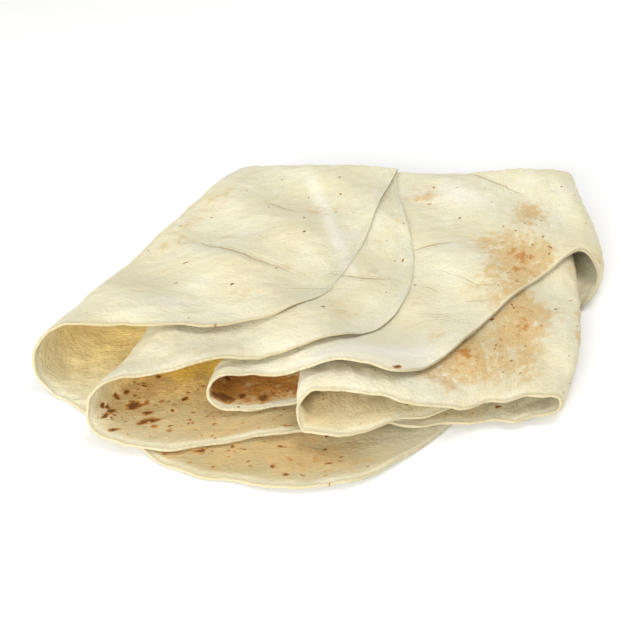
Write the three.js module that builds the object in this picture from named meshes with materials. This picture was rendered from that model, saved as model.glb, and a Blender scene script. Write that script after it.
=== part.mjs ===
// Lavash: one large thin flatbread, folded in half along its length and then
// folded over crosswise, so that eight layers lie on each other with four
// nested bends open at the front. Sizes in millimetres, +Z up, floor at z = 0.
import * as THREE from "three";

// The dough
const THICK = 2.2; // thickness of the bread
const TIP_THIN = 0.72; // share by which the free end of the top flap is thinner
const TIP_STATIONS = 0.36; // how far that thin end reaches along the path
const TIP_CLOSE = 2.3; // how close the thin end settles to the layer below
const TIP_CLOSER = 0.6; // and how much closer next to the lengthwise fold
const PITCH_FRONT = 4.8; // one layer to the next in the loose front part
const PITCH_LOW = 3.9; // the same for the lowest layers, pressed by the others
const PITCH_FLAP = 3.3; // under the top flap, where it lies on the layers below
const FLAP_FROM = 12;
const FLAP_TO = 62;
const PITCH_RIM = 3.1; // one layer to the next where the low rims lie free
const PITCH_PAIR_BACK = 4.7; // between the two halves, next to the lengthwise fold
const PITCH_BACK = 3.1; // between the folded pairs, next to the lengthwise fold
const PITCH_INNER_BACK = 4.4; // between the innermost pairs, round which they bend
const PITCH_RIGHT = 3.2; // towards the right bend, where the layers lie close
const CLOSE_FROM = 205;
const CLOSE_TO = 262;
const LAYERS = 8;

// Where the lengthwise fold lies along the path, and how round it is
const FOLD_Y = 208;
const FOLD_LINE = [
  [0, 205], [1.5, 209], [2.5, 212], [3.5, 210], [4.5, 207], [5.5, 204], [7, 202],
];
const FOLD_ROUND = 2;
const FOLD_GAP = 3.5; // half the room between the two halves in a bend
const LEAN = 0.45; // the crosswise bends run back and to the right by this slope
const FLARE = 6; // how suddenly the first bend opens towards its rim
const INNER_SPREAD = 1.3; // how the inner bends part towards their rims
const OUTER_SPREAD = 1.25; // the same for the other places

// The path goes through seven runs: top flap, left bend, bottom, right bend,
// upper inner layer, inner left bend, lower inner layer. Each run is one step
// of the path's station. The lengthwise fold parts the bread in two halves,
// "far" and "near"; the sizes at the fold itself belong to both.
const RUN_STEPS = [12, 10, 18, 9, 13, 9, 9];
const WIDTH_STEPS = 14; // along one half, rim to lengthwise fold
const FOLD_STEPS = 3; // round the lengthwise fold, each half
const AT_FOLD = {
  flapEnd: 108,
  left: 0,
  right: 222,
  innerLeft: 76,
  innerEnd: 200,
};
// The station of each of these places: from the fold to the rim there the bend
// goes from its place at the fold to its place at the rim.
const MADE_AT = { flapEnd: 0, left: 1.5, right: 3.5, innerLeft: 5.5, innerEnd: 7 };
// Which way the far half lies from the near one, in each of these places.
const FAR_SIDE = { flapEnd: 0, left: -1, right: 1, innerLeft: -1, innerEnd: 0 };

// The half whose rim makes the first and third bends from the left.
const FAR = {
  flapEnd: 132,
  left: 0,
  right: 274,
  innerLeft: 106,
  innerEnd: 236,
  leftRound: 17,
  rightRound: 13,
  innerRound: 12,
  tightRound: 6, // the same bend in the closed back part
  levels: { flap: 8, bottom: 1, upper: 6, lower: 3 },
  rim: [
    [0, 48], [0.03, 33], [0.12, 14], [0.41, 5], [0.77, 3], [1, 1], [1.5, -3],
    [2, -16], [2.09, -26], [2.3, -62], [2.52, -84], [2.72, -88], [2.84, -64],
    [2.93, 0], [3, 58], [3.25, 72], [3.5, 82], [4, 110], [4.1, 86], [4.2, 38],
    [4.27, -6], [4.36, -29], [4.45, -36], [4.63, -32], [4.81, -27], [5, -29],
    [5.5, -32], [6, -38], [6.37, -26], [6.75, -8], [7, 30],
  ],
};

// The half whose rim makes the second and fourth bends.
const NEAR = {
  flapEnd: 177,
  left: 53,
  right: 286,
  innerLeft: 159,
  innerEnd: 258,
  leftRound: 15,
  rightRound: 9,
  innerRound: 8,
  tightRound: 2.2,
  levels: { flap: 7, bottom: 2, upper: 5, lower: 4 },
  rim: [
    [0, 28], [0.03, 16], [0.1, 3], [0.21, -7], [0.64, -25], [0.89, -34],
    [1, -37], [1.5, -46], [2, -55], [2.06, -60], [2.12, -62], [2.22, -60],
    [2.44, -50], [2.75, -43], [3, -38], [3.5, -34], [4, -31], [4.18, -36],
    [4.44, -47], [4.75, -48], [5, -44], [5.5, -47], [6, -57], [6.18, -64],
    [6.45, -54], [6.7, -41], [6.9, -24], [7, 0],
  ],
};

// The drop-shaped opening of the innermost bend
const DROP_HIGH = 13;
const DROP_X = 175;
const DROP_LEFT = 26;
const DROP_RIGHT = 42;
const DROP_FROM = 24;
const DROP_TO = -40;
// The wide openings of the bends outside it
const INNER_PUFF = 1;
const INNER_PUFF_X = 117;
const OUTER_PUFF = 2;
const OUTER_PUFF_X = 68;
const PUFF_WIDE = 34;

// Sag and swell of the upper layers, and the curl of the rims
const SWELL = 2.6;
const SWELL_LONG = 118;
const SWELL_DEEP = 150;
const CURL = 2.4;
const CURL_DEEP = 26;
const CURL_LONG = 0.62; // stations from one curl to the next
const CURL_FROM = -48; // the bottom layer curls only in front of the others
const CURL_TO = -70;

const clamp = (x) => Math.min(1, Math.max(0, x));
const mix = (a, b, k) => a + (b - a) * k;
const ease = (a, b, x) => {
  const k = clamp((x - a) / (b - a));
  return k * k * (3 - 2 * k);
};
const hump = (x, centre, left, right) =>
  Math.exp(-(((x - centre) / (x < centre ? left : right)) ** 2));

// A smooth curve through [station, value] pairs.
function through(keys, at) {
  let i = 0;
  while (i < keys.length - 2 && at > keys[i + 1][0]) i++;
  const slope = (j) => {
    const a = keys[Math.max(0, j - 1)];
    const b = keys[Math.min(keys.length - 1, j + 1)];
    return (b[1] - a[1]) / (b[0] - a[0]);
  };
  const [x0, y0] = keys[i];
  const [x1, y1] = keys[i + 1];
  const h = x1 - x0;
  const k = clamp((at - x0) / h);
  const k2 = k * k;
  const k3 = k2 * k;
  return (
    y0 * (2 * k3 - 3 * k2 + 1) +
    h * slope(i) * (k3 - 2 * k2 + k) +
    y1 * (3 * k2 - 2 * k3) +
    h * slope(i + 1) * (k3 - k2)
  );
}

// Spacing between layer k and the one above it, at a place in the section.
function pitch(k, x, y) {
  const front = ease(FOLD_Y - 10, 60, y);
  const pair = k % 2 === 1;
  const loose = k <= 2 ? PITCH_LOW : PITCH_FRONT;
  const between = k === 4 ? PITCH_INNER_BACK : PITCH_BACK;
  let p = mix(pair ? PITCH_PAIR_BACK : between, loose, front);
  if (k >= 6) {
    const lies = ease(FLAP_FROM, FLAP_TO, y) * ease(FOLD_Y - 12, FOLD_Y - 50, y);
    p = mix(p, PITCH_FLAP, lies);
  }
  const closing = ease(CLOSE_FROM, CLOSE_TO, x) * ease(FOLD_Y, FOLD_Y - 40, y);
  p = mix(p, Math.min(p, PITCH_RIGHT), closing);
  const low = k <= 3 ? 1 : 0;
  p = mix(p, PITCH_RIM, low * ease(-30, -66, y));
  if (k === 4) {
    const drop = ease(DROP_FROM, DROP_TO, y);
    p += DROP_HIGH * hump(x, DROP_X, DROP_LEFT, DROP_RIGHT) * drop;
  }
  if (k === 3 || k === 5) {
    p += 0.5 * INNER_PUFF * hump(x, INNER_PUFF_X, PUFF_WIDE, PUFF_WIDE) * front;
  }
  if (k === 2 || k === 6) {
    p += 0.5 * OUTER_PUFF * hump(x, OUTER_PUFF_X, PUFF_WIDE, PUFF_WIDE) * front;
  }
  return p;
}

// Height of a layer's middle above the floor; the levels may be in between.
function height(level, x, y) {
  let z = THICK / 2;
  for (let k = 0; k <= LAYERS; k++) {
    const step = ease(-0.5, 1.5, level - k) - ease(-0.5, 1.5, 1 - k);
    z += pitch(Math.min(LAYERS - 1, Math.max(1, k)), x, y) * step;
  }
  const share = ease(1, LAYERS, level);
  const wave =
    Math.sin(x / SWELL_LONG * 2 * Math.PI + 0.6) *
      Math.cos(y / SWELL_DEEP * 2 * Math.PI - 0.4) +
    0.5 * Math.sin((x * 0.8 + y) / 61 * 2 * Math.PI + 1.9);
  return z + SWELL * share * wave;
}

// Middle of the bread at a path station and a place across it: -1 is the rim
// of the far half, 0 the lengthwise fold, 1 the rim of the near half.
function middle(station, across) {
  const q = Math.min(6.999999, Math.max(0, station));
  const half = across < 0 ? FAR : NEAR;
  const back = through(FOLD_LINE, q);
  const reach = back - through(half.rim, q) + FOLD_ROUND;
  const d = Math.abs(across) * reach;
  const bow = Math.hypot(d, FOLD_ROUND);
  const y = back - (bow - FOLD_ROUND);
  const apart = (d / bow) * Math.sign(across);
  const place = (name) => {
    const behind = through(FOLD_LINE, MADE_AT[name]);
    const front = through(half.rim, MADE_AT[name]);
    const w = clamp((behind - y) / (behind - front));
    let spread = Math.sin((Math.PI / 2) * w ** OUTER_SPREAD);
    if (name === "left" && across < 0) spread = w ** FLARE;
    if (name === "innerLeft") spread = w ** INNER_SPREAD;
    const fold = AT_FOLD[name] - FAR_SIDE[name] * apart * FOLD_GAP;
    return mix(fold, half[name], spread);
  };
  const nearly = 0.5 + 0.5 * apart; // 0 in the far half, 1 in the near one
  const size = (name) => mix(FAR[name], NEAR[name], nearly);
  const level = (name) => mix(FAR.levels[name], NEAR.levels[name], nearly);

  const run = Math.floor(q);
  const k = q - run;
  const turn = (1 - Math.cos(Math.PI * k)) / 2;
  const out = 1 - Math.sin(Math.PI * k);
  const left = place("left");
  const lr = size("leftRound");
  const right = place("right");
  const rr = size("rightRound");
  const inner = place("innerLeft");
  const ir = mix(size("tightRound"), size("innerRound"), ease(DROP_FROM, DROP_TO, y));
  let x;
  let lv;
  if (run === 0) {
    x = mix(place("flapEnd"), left + lr, k);
    lv = level("flap");
  } else if (run === 1) {
    x = left + lr * out;
    lv = mix(level("flap"), level("bottom"), turn);
  } else if (run === 2) {
    x = mix(left + lr, right - rr, k);
    lv = level("bottom");
  } else if (run === 3) {
    x = right - rr * out;
    lv = mix(level("bottom"), level("upper"), turn);
  } else if (run === 4) {
    x = mix(right - rr, inner + ir, k);
    lv = level("upper");
  } else if (run === 5) {
    x = inner + ir * out;
    lv = mix(level("upper"), level("lower"), turn);
  } else {
    x = mix(inner + ir, place("innerEnd"), k);
    lv = level("lower");
  }
  const below = mix(pitch(LAYERS - 1, x, y), pitch(LAYERS - 2, x, y), nearly);
  const close = TIP_CLOSE - TIP_CLOSER * (1 - nearly) * ease(110, 190, y);
  let z = height(lv, x, y) - (below - close) * ease(TIP_STATIONS, 0, q);
  const rim = ease(CURL_DEEP, 0, reach - d);
  const lift = 0.5 + 0.5 * Math.sin((q / CURL_LONG) * 2 * Math.PI + across);
  z += CURL * rim * lift * (lv < 1.5 ? ease(CURL_FROM, CURL_TO, y) : 0.5);
  return new THREE.Vector3(x + LEAN * y, y, z);
}

const NUDGE = 1e-3;
function normal(station, across) {
  const a = Math.min(7, station + NUDGE);
  const b = Math.max(0, station - NUDGE);
  const c = Math.min(1, across + NUDGE);
  const d = Math.max(-1, across - NUDGE);
  const along = middle(a, across).sub(middle(b, across));
  const over = middle(station, c).sub(middle(station, d));
  return along.cross(over).normalize();
}

// Stations along the path and places across the bread.
const stations = [];
RUN_STEPS.forEach((n, run) => {
  for (let i = 0; i < n; i++) stations.push(run + i / n);
});
stations.push(RUN_STEPS.length);

const FOLD_SHARE = 0.03; // of a half's width, taken by the lengthwise fold
const halfPlaces = [];
for (let i = 0; i < WIDTH_STEPS; i++) {
  halfPlaces.push(mix(1, FOLD_SHARE, i / WIDTH_STEPS));
}
for (let i = 0; i < FOLD_STEPS; i++) {
  halfPlaces.push(mix(FOLD_SHARE, 0, i / FOLD_STEPS));
}
const places = [
  ...halfPlaces.map((v) => -v),
  0,
  ...halfPlaces.slice().reverse(),
];

const rows = stations.length;
const cols = places.length;
const points = [];
for (const side of [1, -1]) {
  for (const q of stations) {
    for (const v of places) {
      const thick = THICK * (1 - TIP_THIN * ease(TIP_STATIONS, 0, q));
      points.push(middle(q, v).addScaledVector(normal(q, v), (side * thick) / 2));
    }
  }
}

const faces = [];
const upper = (i, j) => i * cols + j;
const under = (i, j) => rows * cols + i * cols + j;
const quad = (a, b, c, d) => faces.push(a, b, c, a, c, d);
for (let i = 0; i + 1 < rows; i++) {
  for (let j = 0; j + 1 < cols; j++) {
    quad(upper(i, j), upper(i + 1, j), upper(i + 1, j + 1), upper(i, j + 1));
    quad(under(i, j), under(i, j + 1), under(i + 1, j + 1), under(i + 1, j));
  }
}
for (let i = 0; i + 1 < rows; i++) {
  const last = cols - 1;
  quad(upper(i + 1, 0), upper(i, 0), under(i, 0), under(i + 1, 0));
  quad(upper(i, last), upper(i + 1, last), under(i + 1, last), under(i, last));
}
for (let j = 0; j + 1 < cols; j++) {
  const last = rows - 1;
  quad(upper(0, j), upper(0, j + 1), under(0, j + 1), under(0, j));
  quad(upper(last, j + 1), upper(last, j), under(last, j), under(last, j + 1));
}

const bread = new THREE.BufferGeometry().setFromPoints(points);
bread.setIndex(faces);
bread.computeBoundingBox();
const box = bread.boundingBox;
const centre = box.getCenter(new THREE.Vector3());
bread.translate(-centre.x, -centre.y, -box.min.z);
bread.computeVertexNormals();

const lavash = new THREE.Mesh(
  bread,
  new THREE.MeshStandardMaterial({ color: 0xe9dfc2, roughness: 0.85 }),
);
lavash.name = "lavash";

const part = new THREE.Group();
part.add(lavash);
export default part;
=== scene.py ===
# %% [markdown]
# # A folded lavash
# Lavash is a very large, very thin flatbread. This one is folded in half along its length and then over
# crosswise, so eight layers lie on each other and four bends open at the front. The lesson shows how one
# sheet can be folded by a formula, how blisters become real relief, and how toasting is painted with
# nodes.

# %% [markdown]
# ## The frame
# A plain solid of the bread exists already. It is loaded first, because it says how large the bread is
# and where it lies. The fine bread could be modelled by eye, but then it wouldn't fit that solid.
# Lengths in this lesson are millimetres and Blender's are metres, so one factor turns the first into the
# second.

# %% Load the frame
import math

import bpy
import numpy as np
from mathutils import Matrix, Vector
from mathutils.bvhtree import BVHTree


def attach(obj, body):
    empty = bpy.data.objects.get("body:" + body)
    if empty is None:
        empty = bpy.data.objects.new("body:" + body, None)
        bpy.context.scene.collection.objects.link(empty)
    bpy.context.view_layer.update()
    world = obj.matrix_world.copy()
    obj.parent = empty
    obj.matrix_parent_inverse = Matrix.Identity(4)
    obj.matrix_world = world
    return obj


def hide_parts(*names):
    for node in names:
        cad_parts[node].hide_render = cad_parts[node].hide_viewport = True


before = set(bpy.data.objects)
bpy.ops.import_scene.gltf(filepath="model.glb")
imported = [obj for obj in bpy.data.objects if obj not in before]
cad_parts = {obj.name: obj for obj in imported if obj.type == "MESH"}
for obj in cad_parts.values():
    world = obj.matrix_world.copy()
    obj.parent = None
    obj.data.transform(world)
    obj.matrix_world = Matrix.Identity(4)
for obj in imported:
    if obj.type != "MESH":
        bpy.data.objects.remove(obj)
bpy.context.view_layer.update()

MM = 0.001

# %% [markdown]
# ## Curves for soft things
# Nothing on a bread starts or ends sharply. Curve objects could draw its soft lines one by one, but here
# they are needed for thousands of points at once. So they are plain functions on arrays: a mix of two
# values, a soft step, a bell, and a smooth curve through chosen values.


# %% Mix, soft step, bell and curve
def mix(a, b, k):
    return a + (b - a) * k


def ease(a, b, x):
    """0 up to a, 1 from b on, smooth between; a may be the larger one."""
    k = np.clip((x - a) / (b - a), 0.0, 1.0)
    return k * k * (3.0 - 2.0 * k)


def bell(x, centre, left, right):
    return np.exp(-(((x - centre) / np.where(x < centre, left, right)) ** 2))


def through(keys, at):
    """A smooth curve through (station, value) pairs."""
    xs, ys = np.array(keys, float).T
    slope = np.gradient(ys, xs)
    slope[1:-1] = (ys[2:] - ys[:-2]) / (xs[2:] - xs[:-2])
    i = np.clip(np.searchsorted(xs, at, side="left") - 1, 0, len(xs) - 2)
    h = xs[i + 1] - xs[i]
    k = np.clip((at - xs[i]) / h, 0.0, 1.0)
    k2, k3 = k * k, k * k * k
    first = ys[i] * (2 * k3 - 3 * k2 + 1) + h * slope[i] * (k3 - 2 * k2 + k)
    second = ys[i + 1] * (3 * k2 - 2 * k3) + h * slope[i + 1] * (k3 - k2)
    return first + second


print("a soft step at its quarter:", ease(0.0, 1.0, 0.25))

# %% [markdown]
# ## Layers that never cross
# The folded bread is eight layers thick. A cloth simulation could fold a sheet, but it wouldn't put each
# bend where we want it, and layers that get their heights one by one soon cut through each other. So a
# layer has no height of its own: every height is a sum of gaps, counted from the floor up. They are wide
# where the bends stand open at the front, and narrow where the bread is pressed flat.

# %% Openings of the bends
INNER_GAP = 4
DROP_HIGH = 13.0
DROP_X = 175.0
DROP_LEFT, DROP_RIGHT = 26.0, 42.0
DROP_FROM, DROP_TO = 24.0, -40.0
INNER_PUFF, INNER_PUFF_X = 0.5, 117.0
OUTER_PUFF, OUTER_PUFF_X = 1.0, 68.0
PUFF_WIDE = 34.0


def opening(gap, x, y, front):
    """How much further a gap opens at the front: the innermost bend hangs open, the others puff up."""
    if gap == INNER_GAP:
        return DROP_HIGH * bell(x, DROP_X, DROP_LEFT, DROP_RIGHT) * ease(DROP_FROM, DROP_TO, y)
    if gap in (INNER_GAP - 1, INNER_GAP + 1):
        return INNER_PUFF * bell(x, INNER_PUFF_X, PUFF_WIDE, PUFF_WIDE) * front
    if gap in (INNER_GAP - 2, INNER_GAP + 2):
        return OUTER_PUFF * bell(x, OUTER_PUFF_X, PUFF_WIDE, PUFF_WIDE) * front
    return 0.0


print("innermost bend opens by up to", DROP_HIGH, "mm")

# %% Spacing between two layers
LAYERS = 8
LOW_GAPS = 2
RIM_GAPS = 3
FLAP_GAPS = 6
PITCH_FRONT = 4.8
PITCH_LOW = 3.9
PITCH_FLAP = 3.3
PITCH_RIM = 3.1
PITCH_RIGHT = 3.2
PITCH_BACK = 3.1
PITCH_PAIR_BACK = 4.7
PITCH_INNER_BACK = 4.4
FOLD_Y = 208.0
FRONT_FROM, FRONT_TO = FOLD_Y - 10, 60
FLAP_FROM, FLAP_TO = 12.0, 62.0
FLAP_BACK_FROM, FLAP_BACK_TO = FOLD_Y - 12, FOLD_Y - 50
CLOSE_FROM, CLOSE_TO = 205.0, 262.0
CLOSE_BACK = FOLD_Y - 40
LOW_RIM_FROM, LOW_RIM_TO = -30, -66


def pitch(gap, x, y):
    """Distance from one layer to the next at a place of the plan. The lowest gap is 1."""
    front = ease(FRONT_FROM, FRONT_TO, y)
    back = PITCH_PAIR_BACK if gap % 2 == 1 else PITCH_BACK
    back = PITCH_INNER_BACK if gap == INNER_GAP else back
    p = mix(back, PITCH_LOW if gap <= LOW_GAPS else PITCH_FRONT, front)
    if gap >= FLAP_GAPS:
        p = mix(p, PITCH_FLAP, ease(FLAP_FROM, FLAP_TO, y) * ease(FLAP_BACK_FROM, FLAP_BACK_TO, y))
    closing = ease(CLOSE_FROM, CLOSE_TO, x) * ease(FOLD_Y, CLOSE_BACK, y)
    p = mix(p, np.minimum(p, PITCH_RIGHT), closing)
    if gap <= RIM_GAPS:
        p = mix(p, PITCH_RIM, ease(LOW_RIM_FROM, LOW_RIM_TO, y))
    return p + opening(gap, x, y, front)


print("gaps in the middle, mm:", [round(float(pitch(gap, 120.0, 80.0)), 1) for gap in range(1, LAYERS)])

# %% Height of a layer
THICK = 2.2
STEP_FROM, STEP_TO = -0.5, 1.5
SWELL = 2.6
SWELL_LONG = 118.0
SWELL_DEEP = 150.0
SWELL_SLANTED = 61.0
SLANT = 0.8
SLANT_SHARE = 0.5
SWELL_STARTS = (0.6, -0.4, 1.9)


def height(level, x, y):
    """Height of the middle of a layer. In a bend the level slides from one layer's number to another's."""
    z = THICK / 2
    for k in range(LAYERS + 1):
        step = ease(STEP_FROM, STEP_TO, level - k) - ease(STEP_FROM, STEP_TO, 1 - k)
        z = z + pitch(min(LAYERS - 1, max(1, k)), x, y) * step
    share = ease(1, LAYERS, level)
    long, deep, slanted = SWELL_STARTS
    wave = np.sin(x / SWELL_LONG * 2 * np.pi + long) * np.cos(y / SWELL_DEEP * 2 * np.pi + deep)
    wave = wave + SLANT_SHARE * np.sin((x * SLANT + y) / SWELL_SLANTED * 2 * np.pi + slanted)
    return z + SWELL * share * wave


print("top layer in the middle, mm:", round(float(height(LAYERS, 120.0, 80.0)), 1))

# %% [markdown]
# ## One sheet, folded by a formula
# Two numbers name a point of the sheet. The station runs along it, from the end of the top flap over
# runs and bends to 7, the end inside. The place runs across it, from the far rim over the lengthwise
# fold at the back to the near rim. Rims and bends could be drawn as edges by hand; a few points with
# smooth curves between them are easier to move. The plain solid has the same sizes, so the fine mesh
# lies where that solid is.

# %% Lines of the fold and of both rims
FOLD_LINE = [(0, 205), (1.5, 209), (2.5, 212), (3.5, 210), (4.5, 207), (5.5, 204), (7, 202)]
FAR_RIM = [
    (0, 48), (0.03, 33), (0.12, 14), (0.41, 5), (0.77, 3), (1, 1), (1.5, -3),
    (2, -16), (2.09, -26), (2.3, -62), (2.52, -84), (2.72, -88), (2.84, -64),
    (2.93, 0), (3, 58), (3.25, 72), (3.5, 82), (4, 110), (4.1, 86), (4.2, 38),
    (4.27, -6), (4.36, -29), (4.45, -36), (4.63, -32), (4.81, -27), (5, -29),
    (5.5, -32), (6, -38), (6.37, -26), (6.75, -8), (7, 30),
]
NEAR_RIM = [
    (0, 28), (0.03, 16), (0.1, 3), (0.21, -7), (0.64, -25), (0.89, -34),
    (1, -37), (1.5, -46), (2, -55), (2.06, -60), (2.12, -62), (2.22, -60),
    (2.44, -50), (2.75, -43), (3, -38), (3.5, -34), (4, -31), (4.18, -36),
    (4.44, -47), (4.75, -48), (5, -44), (5.5, -47), (6, -57), (6.18, -64),
    (6.45, -54), (6.7, -41), (6.9, -24), (7, 0),
]
print("far rim at the first bend, mm:", round(float(through(FAR_RIM, np.array(1.5))), 1))

# %% Places of the bends
BENDS = {
    # station, place at the fold, at the far rim and at the near rim, side of the far half at the fold
    "flap_end": (0.0, 108, 132, 177, 0),
    "left": (1.5, 0, 0, 53, -1),
    "right": (3.5, 222, 274, 286, 1),
    "inner_left": (5.5, 76, 106, 159, -1),
    "inner_end": (7.0, 200, 236, 258, 0),
}
FOLD_GAP = 3.5
FLARE = 6.0
INNER_SPREAD = 1.3
OUTER_SPREAD = 1.25


def bend_place(name, far, apart, y):
    """Where a bend or an end of the sheet lies from left to right, on its way from the fold to a rim."""
    station, at_fold, at_far, at_near, far_side = BENDS[name]
    behind = through(FOLD_LINE, np.array(station))
    front = np.where(far, through(FAR_RIM, np.array(station)), through(NEAR_RIM, np.array(station)))
    w = np.clip((behind - y) / (behind - front), 0.0, 1.0)
    spread = np.sin(np.pi / 2 * w ** OUTER_SPREAD)
    if name == "left":
        spread = np.where(far, w ** FLARE, spread)
    if name == "inner_left":
        spread = w ** INNER_SPREAD
    return mix(at_fold - far_side * apart * FOLD_GAP, np.where(far, at_far, at_near), spread)


print("bends and ends:", ", ".join(BENDS))

# %% Runs and bends along the sheet
RUNS = 7
ROUNDS = {"left": (17, 15), "right": (13, 9), "inner_open": (12, 8), "inner_tight": (6, 2.2)}
LEVELS = {"flap": (8, 7), "bottom": (1, 2), "upper": (6, 5), "lower": (3, 4)}


def path(q, far, apart, y):
    """Place from left to right and layer number: straight runs, with a half circle between two of them."""
    near = 0.5 + 0.5 * apart
    flap_end, left, right, inner, inner_end = (bend_place(name, far, apart, y) for name in BENDS)
    left_round, right_round, open_round, tight_round = (mix(*pair, near) for pair in ROUNDS.values())
    inner_round = mix(tight_round, open_round, ease(DROP_FROM, DROP_TO, y))
    flap, bottom, upper, lower = (mix(*pair, near) for pair in LEVELS.values())
    run = np.floor(q)
    k = q - run
    turn = (1 - np.cos(np.pi * k)) / 2
    out = 1 - np.sin(np.pi * k)
    runs = [run == i for i in range(RUNS)]
    x = np.select(runs, [
        mix(flap_end, left + left_round, k), left + left_round * out,
        mix(left + left_round, right - right_round, k), right - right_round * out,
        mix(right - right_round, inner + inner_round, k), inner + inner_round * out,
        mix(inner + inner_round, inner_end, k),
    ])
    level = np.select(runs, [
        flap, mix(flap, bottom, turn), bottom, mix(bottom, upper, turn),
        upper, mix(upper, lower, turn), lower,
    ])
    return x, level


print("runs and bends:", RUNS)

# %% The flap's free end and the curled rims
TIP_STATIONS = 0.36
TIP_CLOSE = 1.35
TIP_CLOSER = 0.65
TIP_BACK_FROM, TIP_BACK_TO = 110, 190
CURL = 2.4
CURL_DEEP = 26.0
CURL_LONG = 0.62
CURL_FROM, CURL_TO = -48.0, -70.0
CURL_BETWEEN = 0.5
LOWEST_LAYER = 1.5


def tip_drop(q, apart, x, y):
    """How far the flap's free end sinks, so that it lies close to the layer below."""
    near = 0.5 + 0.5 * apart
    below = mix(pitch(LAYERS - 1, x, y), pitch(LAYERS - 2, x, y), near)
    close = TIP_CLOSE - TIP_CLOSER * (1 - near) * ease(TIP_BACK_FROM, TIP_BACK_TO, y)
    return (below - close) * ease(TIP_STATIONS, 0, q)


def curl(q, v, level, y, to_rim):
    """How far a rim lifts, in waves along it; on the lowest layer only where no other layer lies on it."""
    lift = 0.5 + 0.5 * np.sin(q / CURL_LONG * 2 * np.pi + v)
    free = np.where(level < LOWEST_LAYER, ease(CURL_FROM, CURL_TO, y), CURL_BETWEEN)
    return CURL * ease(CURL_DEEP, 0, to_rim) * lift * free


print("free end lies", TIP_CLOSE, "mm above the middle of the layer below")

# %% The folded sheet
FOLD_ROUND = 2.0
LEAN = 0.45
LAST_STATION = 6.999999


def middle(q, v):
    """Middle of the bread: q is the station, v the place: far rim -1, lengthwise fold 0, near rim 1."""
    q = np.clip(q, 0.0, LAST_STATION)
    far = v < 0
    back = through(FOLD_LINE, q)
    rim_y = np.where(far, through(FAR_RIM, q), through(NEAR_RIM, q))
    reach = back - rim_y + FOLD_ROUND
    d = np.abs(v) * reach
    bow = np.hypot(d, FOLD_ROUND)
    y = back - (bow - FOLD_ROUND)
    apart = d / bow * np.sign(v)
    x, level = path(q, far, apart, y)
    z = height(level, x, y) - tip_drop(q, apart, x, y) + curl(q, v, level, y, reach - d)
    return np.stack([x + LEAN * y, y, z], axis=-1)


print("top of the flap, mm:", middle(np.array(0.6), np.array(-0.6)).round(1))

# %% [markdown]
# ## A fine grid
# A subdivision modifier could smooth a coarse grid, but it would round the rims away. Here the formula
# is used on a fine grid, so bends are smooth and there are enough points for blisters. The distances
# walked along and across the sheet are kept for every point: marks painted with these flat coordinates
# follow the dough through its folds.

# %% Stations and places
RUN_STEPS = [76, 42, 116, 30, 80, 34, 54]
HALF_STEPS = 112
FOLD_STEPS = 8
FOLD_SHARE = 0.03

stations = np.concatenate([run + np.arange(n) / n for run, n in enumerate(RUN_STEPS)] + [[RUNS]])
half_places = np.concatenate([
    np.linspace(1, FOLD_SHARE, HALF_STEPS, endpoint=False),
    np.linspace(FOLD_SHARE, 0, FOLD_STEPS, endpoint=False),
])
places = np.concatenate([-half_places, [0.0], half_places[::-1]])
Q, V = np.meshgrid(stations, places, indexing="ij")
rows, cols = Q.shape
print("grid of", rows, "x", cols, "points")


# %% Flat coordinates
def walked(points):
    """Flat coordinates of the sheet: along it, and across it from the lengthwise fold."""
    along = np.linalg.norm(np.diff(points, axis=0), axis=-1).mean(axis=1)
    across = np.linalg.norm(np.diff(points, axis=1), axis=-1)
    s = np.concatenate([[0.0], np.cumsum(along)])[:, None] + np.zeros((1, cols))
    t = np.concatenate([np.zeros((rows, 1)), np.cumsum(across, axis=1)], axis=1)
    return s, t - t[:, cols // 2][:, None]


flat_s, flat_t = walked(middle(Q, V))
print("mean walk along and across, mm:", flat_s.max().round(), np.ptp(flat_t, axis=1).mean().round())

# %% [markdown]
# ## A rim that no ruler made
# Lavash is stretched by hand, so its rim wanders. A noise texture could displace it, but a sum of a few
# seeded waves is just as smooth, and the code can measure it. It is used here for the rim, and below for
# uneven dough.

# %% Smooth noise and the wandering rim
SEED = 17
WAVES = 22
SHORT_WAVE, LONG_WAVE = 0.65, 1.5
RIM_WANDER = 0.9
RIM_WAVE = 34.0
RIM_POWER = 9
RIMS_APART = 400.0
rng = np.random.default_rng(SEED)


def uneven(s, t, wave):
    """Smooth noise of about unit size; wave is the usual distance between two swells."""
    total = np.zeros(np.broadcast(s, t).shape)
    for _ in range(WAVES):
        angle, phase = rng.uniform(0, 2 * np.pi, 2)
        k = 2 * np.pi / (wave * rng.uniform(SHORT_WAVE, LONG_WAVE))
        total += np.cos(k * (s * math.cos(angle) + t * math.sin(angle)) + phase)
    return total * math.sqrt(2 / WAVES)


wander = RIM_WANDER * uneven(flat_s, RIMS_APART * np.sign(V), RIM_WAVE)
half_wide = np.abs(np.where(V < 0, flat_t[:, :1], flat_t[:, -1:]))
mid = middle(Q, V * (1 - wander / half_wide * np.abs(V) ** RIM_POWER))
print("rim wanders by", np.abs(wander).max().round(2), "mm")

# %% [markdown]
# ## Settled on the table
# Soft bread settles: the fold at the back is not straight, the top is wavy, and over the empty left fold
# it sags. Moving each layer by itself would let layers cross. Here space itself is warped: points that
# lie close together move together, so what lay apart stays apart.

# %% A slow warp of space
FOLD_WANDER = 1.3
FOLD_WAVE = 70.0
FOLD_FROM = 110.0
FOLD_BY_LAYER = 1.5
TOP_WAVY = 0.013
TOP_WAVE = 80.0
TOP_FROM, TOP_TO = 10.0, 90.0
SAG = 4.0
SAG_AT, SAG_WIDE = 36.0, 30.0
SAG_FROM, SAG_TO = 70.0, 200.0
SAG_ABOVE, SAG_WHOLE = 6.0, 17.0

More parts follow.
